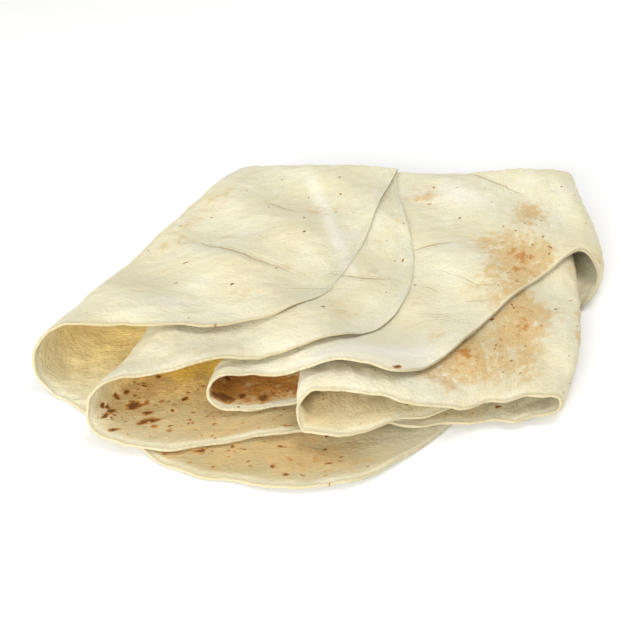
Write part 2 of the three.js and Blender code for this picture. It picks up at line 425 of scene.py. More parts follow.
x, y, z = np.moveaxis(mid, -1, 0)
back = FOLD_WANDER * uneven(x, FOLD_BY_LAYER * z, FOLD_WAVE) * ease(FOLD_FROM, FOLD_Y, y)
wavy = TOP_WAVY * uneven(x, y, TOP_WAVE) * ease(TOP_FROM, TOP_TO, y) * z
hollow = bell(x - LEAN * y, SAG_AT, SAG_WIDE, SAG_WIDE) * ease(SAG_FROM, SAG_TO, y)
sag = SAG * hollow * ease(SAG_ABOVE, SAG_WHOLE, z)
mid = np.stack([x, y + back, z + wavy - sag], axis=-1)
moved = [np.abs(by).max().round(1) for by in (back, wavy - sag)]
print("back fold moved by", moved[0], "mm, top by", moved[1], "mm")

# %% [markdown]
# ## Thin dough, thinner at its rim
# The sheet is about two millimetres thick. Towards its rim, and much more at the flap's free end, it
# gets thinner. A Solidify modifier would give it one thickness; here every point has its own, so the
# free end can almost vanish.

# %% Thickness
TIP_THIN = 0.88
RIM_THIN = 0.25
RIM_TAPER = 7.0

flat_s, flat_t = walked(mid)
to_rim = np.minimum(flat_t - flat_t[:, :1], flat_t[:, -1:] - flat_t)
edge = np.minimum(to_rim, np.minimum(flat_s, flat_s.max() - flat_s))
thick = THICK * (1 - TIP_THIN * ease(TIP_STATIONS, 0, Q)) * (1 - RIM_THIN * ease(RIM_TAPER, 0, edge))
print("thickness from", thick.min().round(2), "to", thick.max().round(2), "mm")

# %% [markdown]
# ## Two faces
# The sheet has a face inside the lengthwise fold and one outside it, each half a thickness from the
# middle. In a tight bend the inner face would fold over itself, and a close layer would be cut. So rays
# are shot straight out of the middle: where one soon meets the next layer, or a bend is too tight, the
# face stays closer.

# %% Rays from a grid
INSIDE, OUTSIDE = 1, -1
SIDES = (INSIDE, OUTSIDE)
RAY_START = 0.05
ROOM_MAX = 60.0


def normals_of(points):
    n = np.cross(np.gradient(points, axis=0), np.gradient(points, axis=1))
    return n / np.linalg.norm(n, axis=-1, keepdims=True)


def grid_faces(start, flip):
    i, j = np.meshgrid(np.arange(rows - 1), np.arange(cols - 1), indexing="ij")
    a = start + i * cols + j
    quad = np.stack([a, a + cols, a + cols + 1, a + 1], axis=-1).reshape(-1, 4)
    return quad[:, ::-1] if flip else quad


def shot(tree, points, side):
    """How far a ray gets from each point, straight out of one face, and the face that it meets."""
    free, met = [], []
    for p, n in zip(points.reshape(-1, 3).tolist(), (side * normal).reshape(-1, 3).tolist()):
        hit = tree.ray_cast(Vector(p) + Vector(n) * RAY_START, n, ROOM_MAX)
        free.append(ROOM_MAX if hit[3] is None else hit[3])
        met.append(0 if hit[2] is None else hit[2])
    return np.array(free).reshape(rows, cols), np.array(met).reshape(rows, cols)


normal = normals_of(mid)
one_face = grid_faces(0, False)
middle_tree = BVHTree.FromPolygons(mid.reshape(-1, 3).tolist(), one_face.tolist())
print("faces of the middle sheet:", len(one_face))

# %% Faces half a thickness from the middle
TIGHT = 0.6
LAYER_SHARE = 0.46
LAYER_GAP = 0.12


def lowest_near(values, reach):
    """The lowest value within a few cells of each point."""
    for _ in range(reach):
        for axis in (0, 1):
            at = np.arange(values.shape[axis])
            beside = [np.take(values, np.clip(at + step, 0, at[-1]), axis=axis) for step in (-1, 1)]
            values = np.minimum(values, np.minimum(*beside))
    return values


def half_thick(side):
    """Half the thickness, or less where the next layer is close or the bend is too tight."""
    half = thick / 2
    apart, met = shot(middle_tree, mid, side)
    other = half[np.divmod(met, cols - 1)]
    fits = np.minimum(1, np.maximum(LAYER_SHARE * apart, apart - other - LAYER_GAP) / half)
    for axis in (0, 1):
        step = np.gradient(mid, axis=axis)
        turned = np.gradient(mid + side * normal * half[..., None], axis=axis)
        kept = (turned * step).sum(axis=-1) / (step * step).sum(axis=-1)
        fits = np.minimum(fits, TIGHT / np.maximum(1 - kept, TIGHT))
    return (half * lowest_near(fits, 1))[..., None]


smooth = {side: mid + side * normal * half_thick(side) for side in SIDES}
floor_z = min(smooth[side][..., 2].min() for side in SIDES)
print("lowest point, mm:", floor_z.round(2))

# %% [markdown]
# ## Room for relief
# A blister may not poke into the next layer or into the table. From every point of both faces a ray is
# shot outwards: how far it gets is the room there. Where it meets nothing, the face is open to the air.

# %% Room in front of both faces
ROOM_REACH = 3
DOWNWARD = 0.05
UPWARD = 0.3

both_faces = np.concatenate([one_face, grid_faces(rows * cols, True)])
both_points = np.concatenate([smooth[side].reshape(-1, 3) for side in SIDES])
tree = BVHTree.FromPolygons(both_points.tolist(), both_faces.tolist())


def room_of(side):
    """Room in front of a face: to the next layer, or to the table below."""
    up = side * normal[..., 2]
    to_table = (smooth[side][..., 2] - floor_z) / -np.minimum(up, -DOWNWARD)
    to_table = np.where(up < -DOWNWARD, to_table, ROOM_MAX)
    return np.minimum(shot(tree, smooth[side], side)[0], to_table)


room = {side: room_of(side) for side in SIDES}
room_near = {side: lowest_near(room[side], ROOM_REACH) for side in SIDES}
on_top = {side: (room[side] >= ROOM_MAX) & (side * normal[..., 2] > UPWARD) for side in SIDES}
print("share of each face on top:", {side: round(float(on_top[side].mean()), 2) for side in SIDES})

# %% [markdown]
# ## Blisters
# In the oven steam lifts the thin dough into blisters, large and small. Sculpting them by hand would
# take long, and a bump map would leave their outline flat. Here each is a low dome at a seeded place on
# the flat sheet.

# %% Blisters on the flat sheet
BLISTERS = 900
BLISTER_SMALL = 2.4
BLISTER_LARGE = 8.5
BLISTER_SKEW = 2.2
BLISTER_LONG = 1.7
BLISTER_RISE = 0.085
RISE_LEAST, RISE_MOST = 0.5, 1.3
DOME_POWER = 1.5


def blisters():
    rise = np.zeros((rows, cols))
    s_row = flat_s[:, 0]
    for _ in range(BLISTERS):
        s0 = rng.uniform(0, s_row[-1])
        t0 = rng.uniform(flat_t.min(), flat_t.max())
        radius = BLISTER_SMALL * (BLISTER_LARGE / BLISTER_SMALL) ** (rng.uniform() ** BLISTER_SKEW)
        long = radius * rng.uniform(1.0, BLISTER_LONG)
        i0, i1 = np.searchsorted(s_row, [s0 - long, s0 + long])
        if i1 <= i0:
            continue
        part = ((flat_s[i0:i1] - s0) / long) ** 2 + ((flat_t[i0:i1] - t0) / radius) ** 2
        dome = np.clip(1 - part, 0, 1) ** DOME_POWER
        high = dome * radius * BLISTER_RISE * rng.uniform(RISE_LEAST, RISE_MOST)
        rise[i0:i1] = np.maximum(rise[i0:i1], high)
    return rise


puff = {side: blisters() for side in SIDES}
print("highest blister:", round(float(max(p.max() for p in puff.values())), 2), "mm")

# %% [markdown]
# ## Creases
# Folding pressed long creases into the top, and a few soft ridges stand beside them. A knife tool could
# cut them, but a soft groove along a drawn line suits dough better. Each line is a few points in the
# plan.

# %% Lines drawn on the top
CREASES = [
    # points, height (a groove is negative), width
    ([(66, 106), (84, 93), (112, 72), (137, 62)], -1.2, 1.9),
    ([(150, 68), (172, 64), (196, 65)], -1.0, 1.8),
    ([(203, 100), (216, 105), (232, 111)], -1.0, 1.8),
    ([(110, 156), (124, 146), (137, 137)], -0.8, 1.8),
    ([(120, 40), (142, 50), (170, 52)], -0.35, 2.6),
    ([(60, 60), (86, 44), (118, 36)], 0.3, 4.0),
    ([(146, 166), (155, 120), (163, 84)], 0.8, 4.5),
    ([(176, 150), (200, 128), (206, 96)], 0.45, 3.5),
    ([(214, 78), (238, 60), (258, 62)], -0.4, 2.6),
    ([(196, 20), (214, 26), (236, 22)], -0.35, 2.4),
    ([(244, 206), (252, 204), (266, 192), (284, 174)], -1.0, 1.9),
    ([(200, 31), (212, 31), (224, 34)], -0.45, 1.8),
    ([(225, 44), (236, 47), (250, 47)], -0.45, 1.8),
    ([(206, 61), (211, 57), (216, 54)], -0.50, 1.8),
]
FAR_AWAY = 1e9


def beside_line(points):
    """Signed distance from a line drawn in the plan, and how strong the line is beside each point."""
    nearest = np.full((rows, cols), FAR_AWAY)
    fade = np.zeros((rows, cols))
    spots = np.array(points, float)
    for n, (a, b) in enumerate(zip(spots, spots[1:])):
        ab = b - a
        off = mid[..., :2] - a
        k = np.clip((off @ ab) / (ab @ ab), 0, 1)
        away = np.linalg.norm(off - k[..., None] * ab, axis=-1)
        away = np.where(ab[0] * off[..., 1] - ab[1] * off[..., 0] < 0, -away, away)
        progress = (n + k) / (len(spots) - 1)
        closer = np.abs(away) < np.abs(nearest)
        fade = np.where(closer, np.sin(np.pi * progress), fade)
        nearest = np.where(closer, away, nearest)
    return nearest, fade


def soft_line(points, high, width):
    """A soft ridge along a line drawn in the plan, or a groove where its height is negative."""
    nearest, fade = beside_line(points)
    return high * fade * np.exp(-((nearest / width) ** 2))


fold_lines = sum(soft_line(*crease) for crease in CREASES)
print("deepest crease:", round(float(-fold_lines.min()), 2), "mm")

# %% [markdown]
# ## Relief on both faces
# Dough is never even: it swells slowly over a few centimetres, and finely over one. Displace modifiers
# could stack swells, blisters and creases, but they know nothing of the next layer. Here their sum is
# held back where room is short, and where a face is squeezed inside a tight fold.

# %% Swells, blisters and creases together
SWELL_WIDE, WIDE_WAVE = 0.17, 30.0
SWELL_FINE, FINE_WAVE = 0.14, 11.0
RELIEF_SHARE = 0.4
RELIEF_DEEP = 0.42
PRESSED_FLAT, PRESSED_FREE = 0.25, 0.75
FOLD_CALM, FOLD_LIVELY = 3.0, 12.0


def squeezed(side):
    """How much narrower a face is than the middle of the sheet: small inside a tight fold."""
    steps = []
    for axis in (0, 1):
        here = np.linalg.norm(np.gradient(smooth[side], axis=axis), axis=-1)
        steps.append(here / np.linalg.norm(np.gradient(mid, axis=axis), axis=-1))
    return np.minimum(*steps)


def relief_of(side):
    relief = side * swell + puff[side] + np.where(on_top[side], fold_lines, 0.0)
    relief = relief * ease(PRESSED_FLAT, PRESSED_FREE, squeezed(side))
    if side == INSIDE:
        relief = relief * ease(FOLD_CALM, FOLD_LIVELY, np.abs(flat_t))
    return np.clip(relief, -RELIEF_DEEP * thick, RELIEF_SHARE * room_near[side])


swell = SWELL_WIDE * uneven(flat_s, flat_t, WIDE_WAVE) + SWELL_FINE * uneven(flat_s, flat_t, FINE_WAVE)
skin = {side: smooth[side] + side * normal * relief_of(side)[..., None] for side in SIDES}
print("swell of up to", round(float(np.abs(swell).max()), 2), "mm")

# %% [markdown]
# ## A rounded rim
# Stretched dough has a blunt, rounded rim. A Bevel modifier could round a thick sheet, but this one gets
# thinner on the way. A flattened half circle swept round the sheet follows by itself: it is as high as
# the sheet is thick.

# %% Half circles round the sheet
RIM_TURNS = (60, 30, 0, -30, -60)
RIM_BULGE = 0.7

ring = [(i, 0) for i in range(rows)] + [(rows - 1, j) for j in range(1, cols)]
ring += [(i, cols - 1) for i in range(rows - 2, -1, -1)] + [(0, j) for j in range(cols - 2, 0, -1)]
ri, rj = np.array(ring).T
inward = mid[np.clip(ri, 1, rows - 2), np.clip(rj, 1, cols - 2)] - mid[ri, rj]
outward = -inward / np.linalg.norm(inward, axis=-1, keepdims=True)
centre = (skin[INSIDE][ri, rj] + skin[OUTSIDE][ri, rj]) / 2
arm = (skin[INSIDE][ri, rj] - skin[OUTSIDE][ri, rj]) / 2
radius = np.linalg.norm(arm, axis=-1, keepdims=True)
turns = [math.radians(angle) for angle in RIM_TURNS]
rim = [centre + arm * math.sin(t) + outward * radius * math.cos(t) * RIM_BULGE for t in turns]
print("rim is up to", (2 * radius.max()).round(2), "mm high")

# %% [markdown]
# ## One closed skin
# Bread has no holes in its skin, and a closed mesh also exports well. Both faces and the rim could be
# merged by distance; giving them common points from the start leaves no seam to merge.

# %% Mesh of the bread
points = np.concatenate([skin[side].reshape(-1, 3) for side in SIDES] + rim)
first = 2 * rows * cols
strips = [ri * cols + rj]
strips += [first + k * len(ring) + np.arange(len(ring)) for k in range(len(rim))]
strips += [rows * cols + ri * cols + rj]
bands = [np.stack([a, b, np.roll(b, -1), np.roll(a, -1)], axis=-1) for a, b in zip(strips, strips[1:])]
faces = np.concatenate([both_faces] + bands)

plan = (points.min(axis=0) + points.max(axis=0)) / 2
points = points - [plan[0], plan[1], points[:, 2].min()]
mesh = bpy.data.meshes.new("lavash_bread")
mesh.from_pydata((points * MM).tolist(), [], faces.tolist())
mesh.polygons.foreach_set("use_smooth", np.ones(len(faces), bool))
bread = bpy.data.objects.new("lavash_bread", mesh)
bpy.context.scene.collection.objects.link(bread)
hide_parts("lavash")
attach(bread, "root")
print("bread:", len(points), "points,", len(faces), "faces")

# %% [markdown]
# ## Where the oven browned it
# A lavash browns in patches, where it touched the hot oven. They could be painted on the mesh by hand;
# here each is a soft spot on one half and one face of the sheet, at a station and a depth, so one number
# moves it. Near the rim the spots fade, so that the rim's own line stays clear. The material breaks the
# patches up into marks.

# %% Toasted patches
FAR, NEAR = -1, 1
TOASTED = {
    # for a half and a face: station, depth, station reach, depth reach, toasting, specks
    (NEAR, OUTSIDE): [
        (1.86, -28, 0.22, 20, 0.52, 0.80),
        (2.00, -8, 0.30, 26, 0.26, 0.22),
        (2.40, -44, 0.45, 16, 0.02, 0.62),
    ],
    (FAR, INSIDE): [
        (5.40, -18, 0.50, 26, 1.05, 0.70),
        (6.10, -12, 0.40, 22, 1.12, 0.80),
        (2.12, 14, 0.12, 24, 0.20, 0.06),
        (2.36, -60, 0.18, 14, 0.66, 0.60),
        (2.66, -72, 0.10, 14, 0.60, 0.60),
    ],
    (FAR, OUTSIDE): [
        (0.98, 110, 0.12, 60, 0.22, 0.04),
        (0.15, 150, 0.14, 30, 0.05, 0.02),
        (4.20, 92, 0.13, 52, 0.58, 0.16),
        (4.64, 168, 0.13, 22, 0.23, 0.05),
        (0.28, 66, 0.07, 7, 0.26, 0.00),
        (2.30, 90, 0.30, 60, 0.40, 0.40),
        (1.55, 100, 0.30, 50, 0.30, 0.30),
        (3.40, 160, 0.40, 40, 0.44, 0.30),
    ],
    (NEAR, INSIDE): [
        (4.36, 0, 0.19, 28, 0.62, 0.20),
        (4.16, 36, 0.14, 32, 0.50, 0.12),
        (4.56, -24, 0.10, 10, 0.30, 0.05),
        (0.10, 124, 0.12, 24, 0.26, 0.03),
        (3.40, 40, 0.40, 50, 0.42, 0.34),
    ],
}
TOAST_LEAST, TOAST_MOST = 0.08, 1.5
TOAST_UNEVEN, TOAST_WAVE = 0.07, 55.0
PALE_FROM, PALE_RIM = 1.0, 5.0
depth = mid[..., 1]
inside_rim = ease(0.0, PALE_RIM, edge - PALE_FROM)


def spots_on(side, spots, which=0):
    """Sum of the soft spots on one face; which picks the strength, where a spot has more than one."""
    total = np.zeros((rows, cols))
    for half in (FAR, NEAR):
        for q0, y0, q_reach, y_reach, *strength in spots.get((half, side), []):
            spot = np.exp(-(((Q - q0) / q_reach) ** 2) - ((depth - y0) / y_reach) ** 2)
            total += strength[which] * np.where(np.sign(V) == half, spot, 0.0)
    return total


def toasting(side):
    heat = TOAST_LEAST + TOAST_UNEVEN * uneven(flat_s, flat_t, TOAST_WAVE) + spots_on(side, TOASTED)
    return np.clip(heat, 0, TOAST_MOST) * inside_rim


toast = {side: toasting(side) for side in SIDES}
specks = {side: np.clip(spots_on(side, TOASTED, 1), 0, 1) * inside_rim for side in SIDES}
print("toasting, mean of each face:", {side: round(float(toast[side].mean()), 3) for side in SIDES})

# %% [markdown]
# ## Painted glow and shade inside the bends
# Light that shines through thin dough glows like honey, and dough in the shade of a bend looks ochre. A
# translucent shader could glow, but an exported model would lose it. So both are painted into the colour,
# as soft spots: painted glow and painted shade.

# %% Painted glow and painted shade
# painted glow: light shining through the thin dough into the bends, as honey-coloured spots
GLOW_SPOTS = {
    # the same, but with one strength: painted glow up to 1, and a deeper amber glow up to 2
    (FAR, INSIDE): [(1.55, 50, 0.60, 44, 0.92), (2.10, 40, 0.25, 40, 0.72)],
    (NEAR, OUTSIDE): [(1.45, 14, 0.60, 40, 1.80), (2.10, 4, 0.24, 32, 1.50), (5.80, -20, 1.00, 60, 0.50)],
}
# painted shade: darker ochre spots where the bends and loops shade the dough
SHADE_SPOTS = {
    (FAR, INSIDE): [(5.80, -16, 1.00, 32, 1.00), (2.50, -66, 0.40, 34, 1.00)],
    (NEAR, OUTSIDE): [(5.80, -20, 1.00, 60, 0.84), (2.40, -42, 0.60, 30, 1.15)],
    (NEAR, INSIDE): [(4.26, 20, 0.20, 40, 0.42), (4.90, -30, 0.30, 30, 0.22), (0.80, -20, 0.40, 40, 0.15)],
}
GLOW_MOST = 2.0
painted_glow = {side: np.clip(spots_on(side, GLOW_SPOTS), 0, GLOW_MOST) * inside_rim for side in SIDES}
painted_shade = {side: np.clip(spots_on(side, SHADE_SPOTS), 0, 1) * inside_rim for side in SIDES}
print("strongest honey:", round(float(max(h.max() for h in painted_glow.values())), 2))

# %% [markdown]
# ## Scorched blots
# Thin blisters burn to dark blots. Noise alone would put them anywhere, so the large ones have places of
# their own. Only a cone is stored for each, 1 at the middle and 0 at its reach; the material tears its
# edge with noise.

# %% Cones of the blots
SCORCHED_BLOTS = {
    # for a half and a face: station, depth, reach
    (NEAR, OUTSIDE): [
        (1.98, -29, 7.5), (2.05, -44, 5.5), (2.02, -26, 4.0), (2.04, -35, 4.5), (1.79, -37, 4.0),
        (1.78, -43, 3.5), (1.64, -37, 3.5), (1.69, -27, 3.5), (1.76, -20, 3.5), (2.09, -47, 3.5),
        (2.10, -23, 3.5),
    ],
    (FAR, INSIDE): [
        (5.74, -13, 4.5), (5.87, -30, 6.5), (5.74, -31, 4.5), (6.03, -28, 6.0), (6.13, -28, 6.0),
    ],
    (NEAR, INSIDE): [(0.05, 89, 3.0), (4.29, 35, 3.0)],
    (FAR, OUTSIDE): [(4.41, -33, 3.5)],
}


def blots_on(side):
    """The cones on one face, measured on the flat sheet."""
    cones = np.zeros((rows, cols))
    for half in (FAR, NEAR):
        for q0, y0, reach in SCORCHED_BLOTS[half, side]:
            i = np.abs(stations - q0).argmin()
            j = np.where(np.sign(places) == half, np.abs(depth[i] - y0), np.inf).argmin()
            away = np.hypot(flat_s - flat_s[i, j], flat_t - flat_t[i, j])
            cones = np.maximum(cones, 1 - away / reach)
    return cones


blots = {side: blots_on(side) for side in SIDES}
print("points in blots:", sum(int((blots[side] > 0).sum()) for side in SIDES))

# %% [markdown]
# ## Painted highlights and crease lines
# In a few streaks on the top, one of them along a raised ridge, the dough is painted paler: painted
# highlights. And a crease is darkest in a line that is thinner than one face of the mesh. Stored at the
# points, that line would have steps. So the mesh keeps the distance to the nearest crease, which changes
# evenly, and the material draws the line from it, as bump and as painted shade.

# %% Painted highlight streaks, and distance to the creases
# painted highlights: paler streaks along lines drawn on the top
HIGHLIGHT_STREAKS = [
    # points, strength, width
    ([(136, 214), (143, 182), (150, 150), (157, 112), (163, 84), (167, 66)], 1.0, 4.6),
    ([(166, 80), (168, 66), (172, 50)], 0.45, 3.0),
    ([(225, 190), (240, 172), (252, 150)], 0.80, 12.0),
    ([(112, -24), (140, -20), (172, -20), (205, -14), (230, -8)], 1.0, 15.0),
]
CREASE_FAR = 5.0


def nearest_crease(side):
    """Signed distance to the nearest crease on top, and how deep that crease is pressed."""
    nearest, pressed = np.full((rows, cols), CREASE_FAR), np.zeros((rows, cols))
    for line_points, high, _ in CREASES:
        if high < 0:
            away, fade = beside_line(line_points)
            closer = on_top[side] & (np.abs(away) < np.abs(nearest))
            nearest = np.where(closer, away, nearest)
            pressed = np.where(closer, -high * fade, pressed)
    return nearest, pressed * ease(CREASE_FAR, CREASE_FAR / 2, np.abs(nearest))


highlight_streaks = np.clip(sum(soft_line(*streak) for streak in HIGHLIGHT_STREAKS), 0, 1)
painted_highlight = {side: np.where(on_top[side], highlight_streaks, 0.0) for side in SIDES}
creases = {side: nearest_crease(side) for side in SIDES}
crease_at = {side: creases[side][0] for side in SIDES}
pressed = {side: creases[side][1] for side in SIDES}
print("deepest pressed line:", round(float(max(p.max() for p in pressed.values())), 2))

# %% [markdown]
# ## Numbers that travel with the mesh
# A material can read numbers that are stored at the points of a mesh, called attributes. Images could
# carry the same, but they need a UV map and a file. Here every point keeps its flat coordinates, in
# metres, and its share of each mark. The two faces lie far apart in the flat coordinates, so that their
# noise differs.

# %% Attributes of the bread
RIM_LINE_WIDE = 2.4
FACE_APART = 900.0


def everywhere(inside, outside, at_rim):
    return np.concatenate([inside.ravel(), outside.ravel()] + [at_rim] * len(rim))


def store(name, kind, key, values):
    data = mesh.attributes.new(name, kind, "POINT").data
    data.foreach_set(key, np.ascontiguousarray(values, dtype=np.float32).ravel())


nothing = np.zeros(len(ring))
sheet = np.stack([
    everywhere(flat_s, flat_s + FACE_APART, flat_s[ri, rj]) * MM,
    everywhere(flat_t, flat_t, flat_t[ri, rj]) * MM,
    everywhere(0 * flat_s, 0 * flat_s, nothing),
], axis=-1)
store("sheet", "FLOAT_VECTOR", "vector", sheet)
painted = {
    "toast": toast, "specks": specks, "blots": blots, "painted_glow": painted_glow, "painted_shade": painted_shade, "painted_highlight": painted_highlight,
    "puff": puff, "pressed": pressed,
}
for name, shares in painted.items():
    store(name, "FLOAT", "value", everywhere(shares[INSIDE], shares[OUTSIDE], nothing))
far_from_crease = nothing + CREASE_FAR
store("crease_at", "FLOAT", "value", everywhere(crease_at[INSIDE], crease_at[OUTSIDE], far_from_crease))
# a darker line at the rim: partly dry dough, partly painted shade along the rim
rim_dry_and_shade = ease(RIM_LINE_WIDE, 0, to_rim)
store("rim", "FLOAT", "value", everywhere(rim_dry_and_shade, rim_dry_and_shade, rim_dry_and_shade[ri, rj]))
print("attributes:", ", ".join(a.name for a in mesh.attributes if not a.is_internal))

# %% [markdown]
# ## Small tools for node trees
# Adding nodes by hand takes many lines. These helpers add a node, feed its sockets with a number or a
# link, and give back the output, so each effect below reads like a formula.


# %% Helpers for nodes
def feed(tree, value, socket):
    if isinstance(value, bpy.types.NodeSocket):
        tree.links.new(value, socket)
    else:
        socket.default_value = value


def put(tree, kind, settings, inputs):
    node = tree.nodes.new(kind)
    for name, value in settings.items():
        setattr(node, name, value)
    for name, value in inputs.items():
        feed(tree, value, node.inputs[name])
    return node


def calc(tree, operation, a, b=0.0, c=0.0):
    return put(tree, "ShaderNodeMath", {"operation": operation}, {0: a, 1: b, 2: c}).outputs[0]


def times(tree, a, b):
    return calc(tree, "MULTIPLY", a, b)


def scaled(tree, value, by, plus):
    return calc(tree, "MULTIPLY_ADD", value, by, plus)


def soft_step(tree, value, low, high):
    """0 below low, 1 above high, smooth between; low may be the larger one."""
    settings = {"interpolation_type": "SMOOTHSTEP"}
    inputs = {"Value": value, "From Min": low, "From Max": high}
    return put(tree, "ShaderNodeMapRange", settings, inputs).outputs["Result"]


def noise(tree, vector, scale, detail, roughness, output="Fac"):
    inputs = {"Vector": vector, "Scale": scale, "Detail": detail, "Roughness": roughness}
    return put(tree, "ShaderNodeTexNoise", {}, inputs).outputs[output]


def new_group(name, inputs, outputs):
    """A shader group; its inputs are values, apart from Sheet, the flat coordinates."""
    tree = bpy.data.node_groups.new(name, "ShaderNodeTree")
    for label in inputs:
        kind = "NodeSocketVector" if label == "Sheet" else "NodeSocketFloat"
        tree.interface.new_socket(label, in_out="INPUT", socket_type=kind)
    for label in outputs:
        tree.interface.new_socket(label, in_out="OUTPUT", socket_type="NodeSocketFloat")
    return tree, tree.nodes.new("NodeGroupInput").outputs, tree.nodes.new("NodeGroupOutput").inputs


print("node groups so far:", len(bpy.data.node_groups))

# %% [markdown]
# ## Toasted marks
# Browning starts as a warm tint, turns to brown on the hottest places and ends in dark specks where thin
# blisters scorched. One smooth mask would look airbrushed. So the stored toasting is multiplied by wide,
# middling and fine noise, which makes the edge of a patch ragged.

# %% Group: ragged patches
FINE_MARKS = 190.0
MARKS_ROUGH = 0.6
RAGGED = [
    # scale, detail and strength of the wide, the middling and the fine noise
    (30.0, 4.0, 2.0), (75.0, 3.0, 2.0), (FINE_MARKS, 4.0, 2.4),
]
PUFF_HEAT = 0.40
TAN_FROM, TAN_TO = 0.16, 0.58
BROWN_FROM, BROWN_TO = 0.70, 1.15
marks, given, result = new_group(
    "toasted_marks", ["Sheet", "Toast", "Specks", "Blots", "Puff"], ["Tan", "Brown", "Char"])


def centred(scale, detail):
    return calc(marks, "SUBTRACT", noise(marks, given["Sheet"], scale, detail, MARKS_ROUGH), 0.5)


ragged = 1.0
for scale, detail, strength in RAGGED:
    ragged = scaled(marks, centred(scale, detail), strength, ragged)
ragged = scaled(marks, given["Puff"], PUFF_HEAT, ragged)
heat = times(marks, ragged, given["Toast"])
tan = soft_step(marks, heat, TAN_FROM, TAN_TO)
patch = soft_step(marks, heat, BROWN_FROM, BROWN_TO)
print("group", marks.name, "so far:", len(marks.nodes), "nodes")

# %% [markdown]
# ## Specks and freckles
# Scorched specks are small and scattered, and no two are alike. Noise with a hard limit gives blobs of
# one kind. In a Voronoi texture each cell has random numbers of its own: one is the size of its dot,
# another says whether it is there. A warp makes the dots uneven.

# %% In the same group: dots in cells
CELLS = {"feature": "F1", "voronoi_dimensions": "2D"}
SPECK_WARP = 0.006
WARP_DETAIL = 2.0
SPECK_SLIM = (1.0, 1.5, 1.0)
# scale of the cells, least size of a dot, spread of the sizes, chance of a dot
SMALL_SPECKS = (190.0, 0.12, 0.34, 0.85)
LARGE_SPECKS = (80.0, 0.10, 0.32, 0.55)
SPECK_RARE = 1.02
DOT_EDGE = 0.45
DOT_CORE = 0.75
shift = noise(marks, given["Sheet"], FINE_MARKS, WARP_DETAIL, MARKS_ROUGH, "Color")
warp_inputs = {0: shift, 1: (SPECK_WARP,) * 3, 2: given["Sheet"]}
warp = put(marks, "ShaderNodeVectorMath", {"operation": "MULTIPLY_ADD"}, warp_inputs).outputs[0]
slim = put(marks, "ShaderNodeVectorMath", {"operation": "MULTIPLY"}, {0: warp, 1: SPECK_SLIM}).outputs[0]


def cells_of(vector, scale):
    """Distance to the middle of the cell, and the cell's random numbers."""
    cells = put(marks, "ShaderNodeTexVoronoi", CELLS, {"Vector": vector, "Scale": scale})
    luck = put(marks, "ShaderNodeSeparateColor", {}, {0: cells.outputs["Color"]}).outputs
    return cells.outputs["Distance"], luck


def speckled(scale, least, spread, chance):
    """Dots with soft edges, and their dark cores."""
    away, luck = cells_of(slim, scale)
    size = scaled(marks, times(marks, luck[0], luck[0]), spread, least)
    gate = scaled(marks, given["Specks"], -chance, SPECK_RARE)
    there = calc(marks, "GREATER_THAN", luck[1], gate)
    dot = soft_step(marks, away, size, times(marks, size, DOT_EDGE))
    core = soft_step(marks, away, times(marks, size, DOT_CORE), 0.0)
    return times(marks, dot, there), times(marks, core, there)


small, small_core = speckled(*SMALL_SPECKS)
large, large_core = speckled(*LARGE_SPECKS)
print("group", marks.name, "so far:", len(marks.nodes), "nodes")

# %% In the same group: lone freckles
FRECKLES = 48.0
FRECKLE_SIZE = 0.05
FRECKLE_EDGE = 0.5
FRECKLE_FROM, FRECKLE_TO = 0.72, 0.82
away, luck = cells_of(warp, FRECKLES)
size = times(marks, luck[1], FRECKLE_SIZE)
dot = soft_step(marks, away, size, times(marks, size, FRECKLE_EDGE))
freckle = times(marks, dot, soft_step(marks, luck[1], FRECKLE_FROM, FRECKLE_TO))
print("group", marks.name, "so far:", len(marks.nodes), "nodes")

# %% [markdown]
# ## From marks to masks
# The marks leave the group as three masks, each a stage of browning: tan, brown and char. Where several
# marks meet, the strongest one wins, so a speck in a brown patch doesn't make the patch darker all
# round. The cones of the large blots are torn by fine noise first.

# %% In the same group: tan, brown and char
SMALL_BROWN = 0.75
BLOT_TORN, BLOT_DETAIL = 3.0, 4.0
BLOT_FROM, BLOT_TO = 0.30, 0.50
BLOT_CHAR_FROM, BLOT_CHAR_TO = 0.45, 0.80
BLOT_CHAR = 0.8
FRECKLE_CHAR = 0.8
SMALL_CHAR, TAN_CHAR = 0.4, 0.5


def strongest(first, *others):
    for other in others:
        first = calc(marks, "MAXIMUM", first, other)
    return first


torn = scaled(marks, centred(FINE_MARKS, BLOT_DETAIL), BLOT_TORN, 1.0)
blot = times(marks, torn, given["Blots"])
brown_blot = soft_step(marks, blot, BLOT_FROM, BLOT_TO)
brown = strongest(patch, times(marks, small, SMALL_BROWN), large, freckle, brown_blot)
scorch = scaled(marks, tan, TAN_CHAR, SMALL_CHAR)
char_blot = times(marks, soft_step(marks, blot, BLOT_CHAR_FROM, BLOT_CHAR_TO), BLOT_CHAR)
char_freckle = times(marks, freckle, FRECKLE_CHAR)
char = strongest(large_core, times(marks, small_core, scorch), char_freckle, char_blot)
feed(marks, tan, result["Tan"])
feed(marks, brown, result["Brown"])
feed(marks, char, result["Char"])
print("group", marks.name, "with", len(marks.nodes), "nodes")

# %% [markdown]
# ## Dough and flour
# Between the marks the dough is not one colour: thick places are paler, thin ones warmer, and here noise
# lays paler and warmer patches at random. Its face is pebbled with bumps so fine that no grid could hold
# them, so they are left to a bump height. A little flour clings to it in grains.

